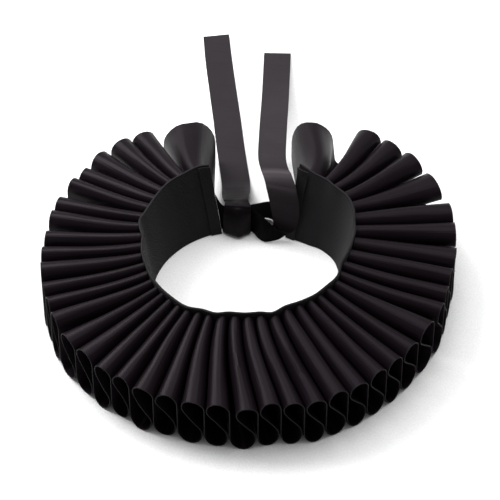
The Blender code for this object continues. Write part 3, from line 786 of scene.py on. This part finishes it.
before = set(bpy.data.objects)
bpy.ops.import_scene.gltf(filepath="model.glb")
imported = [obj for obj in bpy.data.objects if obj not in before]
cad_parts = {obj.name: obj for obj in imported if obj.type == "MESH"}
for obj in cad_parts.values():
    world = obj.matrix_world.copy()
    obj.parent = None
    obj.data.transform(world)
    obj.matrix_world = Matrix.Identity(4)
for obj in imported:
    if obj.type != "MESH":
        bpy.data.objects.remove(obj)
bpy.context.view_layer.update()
SATIN_FLOAT = 1.0 * MM
RIBBON_FLOAT = 0.5 * MM
BLACK_SATIN = satin(
    "black_satin", (0.0026, 0.0015, 0.0024), (0.0082, 0.0055, 0.0077), 0.36, 0.95, 0.6, SATIN_FLOAT
)
# Left ribbon: its tones paint shade over the knot (0.16) and a painted sheen band where it bends over
# towards its tail (2.4 to 2.6)
LEFT_SATIN_PAINTED_SHADE_AND_SHEEN = satin(
    "left_satin_painted_shade_and_sheen", (0.0128, 0.0106, 0.0122), (0.0300, 0.0260, 0.0288), 0.42, 0.25, 0.3, RIBBON_FLOAT,
    [(0.060, 0.16), (0.068, 0.8), (0.084, 1.2), (0.098, 2.4), (0.106, 2.6), (0.112, 1.0)],
)
# Right ribbon: its tones paint shade over the knot's wrap, darker up to 0.110 m along it
RIGHT_SATIN_PAINTED_SHADE = satin(
    "right_satin_painted_shade", (0.0105, 0.0085, 0.0100), (0.0280, 0.0240, 0.0268), 0.40, 1.0, 0.3, RIBBON_FLOAT,
    [(0.110, 0.20), (0.140, 1.0)],
)
BLACK_TWILL = twill("black_twill", (0.0025, 0.0023, 0.0027), (0.011, 0.010, 0.012), 0.75, 0.14)
EDGE = plain("edge_cloth", (0.0042, 0.0031, 0.0040), 0.6, 0.12)
THREAD = plain("black_thread", (0.040, 0.036, 0.040), 0.55)
FLOOR = plain("pale_floor", (0.86, 0.86, 0.86), 0.9, 0.1)

strip = ruff_grid()
ruff = cloth("ruff_cloth", strip, SATIN_WALL, BLACK_SATIN, ["ruff"])
ruff_hem = threads("ruff_rolled_hem", [strip[-1]], RIM_EDGE_RADIUS, EDGE)

middle = band_grid(LEFT_END, RIGHT_END, BAND_STEPS, 0)
band = cloth("neckband_cloth", middle, BAND_WALL, BLACK_TWILL, ["neckband"])
edge_height = NECKBAND_HEIGHT - BAND_EDGE_DEPTH
top_line = band_grid(LEFT_END, RIGHT_END, BAND_STEPS, 0, edge_height, NECKBAND_HEIGHT, 1)[0]
band_edge = threads("neckband_top_edge", [top_line], BAND_EDGE_RADIUS, EDGE)

hem_pieces, stitch_lines = [], []
for name, node, end, towards in (
    ("left_end_hem", "hem_left", LEFT_END, 1),
    ("right_end_hem", "hem_right", RIGHT_END, -1),
):
    width = math.degrees(END_HEM_WIDTH / neckband_radius(math.radians(end), NECKBAND_HEIGHT / 2))
    inwards = NECKBAND_WALL / 2 + SEAM_GAP + HEM_WALL / 2
    first, final = sorted((end, end + towards * width))
    hem_top = NECKBAND_HEIGHT - HEM_HIGH_INSET
    grid = band_grid(first, final, HEM_STEPS, inwards, HEM_LOW_INSET, hem_top, HEM_SPANS)
    if towards < 0:
        grid = eared(grid)
    hem_pieces.append(cloth(name, grid, HEM_WALL, BLACK_TWILL, [node]))
    for row in STITCH_ROWS:
        share = 1 - row if towards > 0 else row
        stitch_lines += stitches(grid, share, STITCH_PITCH, STITCH_LENGTH, STITCH_LIFT)
end_stitches = threads("end_hem_stitches", stitch_lines, STITCH_RADIUS, THREAD, 1)

left_grid = ribbon_grid(LEFT_RIBBON, LEFT_RIBBON_CREASES)
ribbon_left = cloth("ribbon_left_cloth", left_grid, RIBBON_WALL, LEFT_SATIN_PAINTED_SHADE_AND_SHEEN, ["ribbon_left"])
right_grid = ribbon_grid(RIGHT_RIBBON, RIGHT_RIBBON_CREASES)
ribbon_right = cloth("ribbon_right_cloth", right_grid, RIBBON_WALL, RIGHT_SATIN_PAINTED_SHADE, ["ribbon_right"])


# Floor, light and camera
def quad(name, reach, height):
    """A square of floor that runs this far each way from the origin."""
    mesh = bpy.data.meshes.new(name)
    corners = [(-reach, -reach), (reach, -reach), (reach, reach), (-reach, reach)]
    mesh.from_pydata([(x, y, height) for x, y in corners], [], [(0, 1, 2, 3)])
    mesh.materials.append(FLOOR)
    made = bpy.data.objects.new(name, mesh)
    bpy.context.scene.collection.objects.link(made)
    return made


def softbox(name, place, target, size, power):
    light = bpy.data.lights.new(name, "AREA")
    light.shape = "DISK"
    light.size = size
    light.energy = power
    made = bpy.data.objects.new(name, light)
    made.location = place
    made.rotation_euler = (Vector(target) - Vector(place)).to_track_quat("-Z", "Y").to_euler()
    bpy.context.scene.collection.objects.link(made)
    return made


FLOOR_REACH = 6.0
FLOOR_HEIGHT = -0.2 * MM
quad("floor", FLOOR_REACH, FLOOR_HEIGHT)
AIM = Vector((0.0001, -0.0531, 0.03))
softbox("key_light", (-1.2, 0.9, 1.4), AIM, 1.5, 62)
softbox("top_light", (0.3, 0.6, 2.4), AIM, 2.4, 55)

# A white sky, dimmer in front of the collar than behind it
world = bpy.data.worlds.new("studio")
world.use_nodes = True
background = world.node_tree.nodes["Background"]
background.inputs["Color"].default_value = (1, 1, 1, 1)
facing = world.node_tree.nodes.new("ShaderNodeTexCoord")
direction = world.node_tree.nodes.new("ShaderNodeSeparateXYZ")
falloff = world.node_tree.nodes.new("ShaderNodeMapRange")
for socket, value in (("From Min", -0.4), ("From Max", 0.8), ("To Min", 0.3), ("To Max", 0.8)):
    falloff.inputs[socket].default_value = value
for start, end in (
    (facing.outputs["Generated"], direction.inputs[0]),
    (direction.outputs["Y"], falloff.inputs["Value"]),
    (falloff.outputs[0], background.inputs["Strength"]),
):
    world.node_tree.links.new(start, end)
bpy.context.scene.world = world
bpy.context.scene.view_settings.view_transform = "Standard"

ELEVATION = math.radians(46.5)
DISTANCE = 1.9
FOCAL_LENGTH = 188.1
SENSOR_WIDTH = 36
lens = bpy.data.cameras.new("camera")
lens.lens = FOCAL_LENGTH
lens.sensor_width = SENSOR_WIDTH
camera = bpy.data.objects.new("camera", lens)
camera.location = AIM + Vector((0, -math.cos(ELEVATION), math.sin(ELEVATION))) * DISTANCE
camera.rotation_euler = (AIM - camera.location).to_track_quat("-Z", "Y").to_euler()
bpy.context.scene.collection.objects.link(camera)
bpy.context.scene.camera = camera

bpy.context.view_layer.update()
